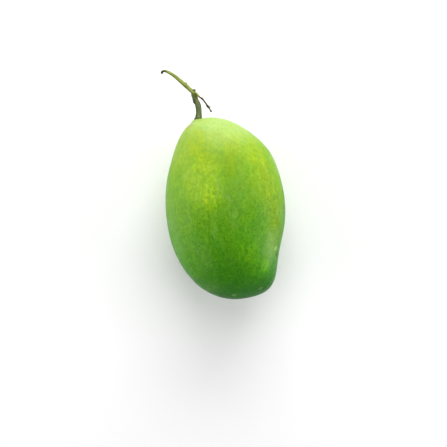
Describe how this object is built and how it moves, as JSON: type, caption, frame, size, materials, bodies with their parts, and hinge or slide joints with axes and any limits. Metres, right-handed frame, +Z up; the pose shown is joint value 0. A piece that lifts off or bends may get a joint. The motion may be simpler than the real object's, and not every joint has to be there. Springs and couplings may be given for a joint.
{
  "type": "mango",
  "caption": "Whole green mango lying on its cheek: a plump oval fruit with a low beak beside its tip, on a short woody stalk that meets a branch and a thin dry twig.",
  "frame": {"origin": "in the middle of the small flat spot on the lower cheek that the fruit rests on", "axes": "+Y along the fruit from its tip to its stalk end, +X to the side that has the beak, +Z straight up out of the upper cheek"},
  "size_m": [0.0841, 0.1667, 0.0727],
  "materials": {
    "skin": "satin",
    "grey_green_bark": "matte",
    "yellow_green_bark": "matte",
    "dry_brown_bark": "matte"
  },
  "bodies": {
    "root": {"fruit": "skin", "pedicel": "grey_green_bark", "rachis": "yellow_green_bark", "side_twig": "dry_brown_bark"}
  },
  "joints": []
}
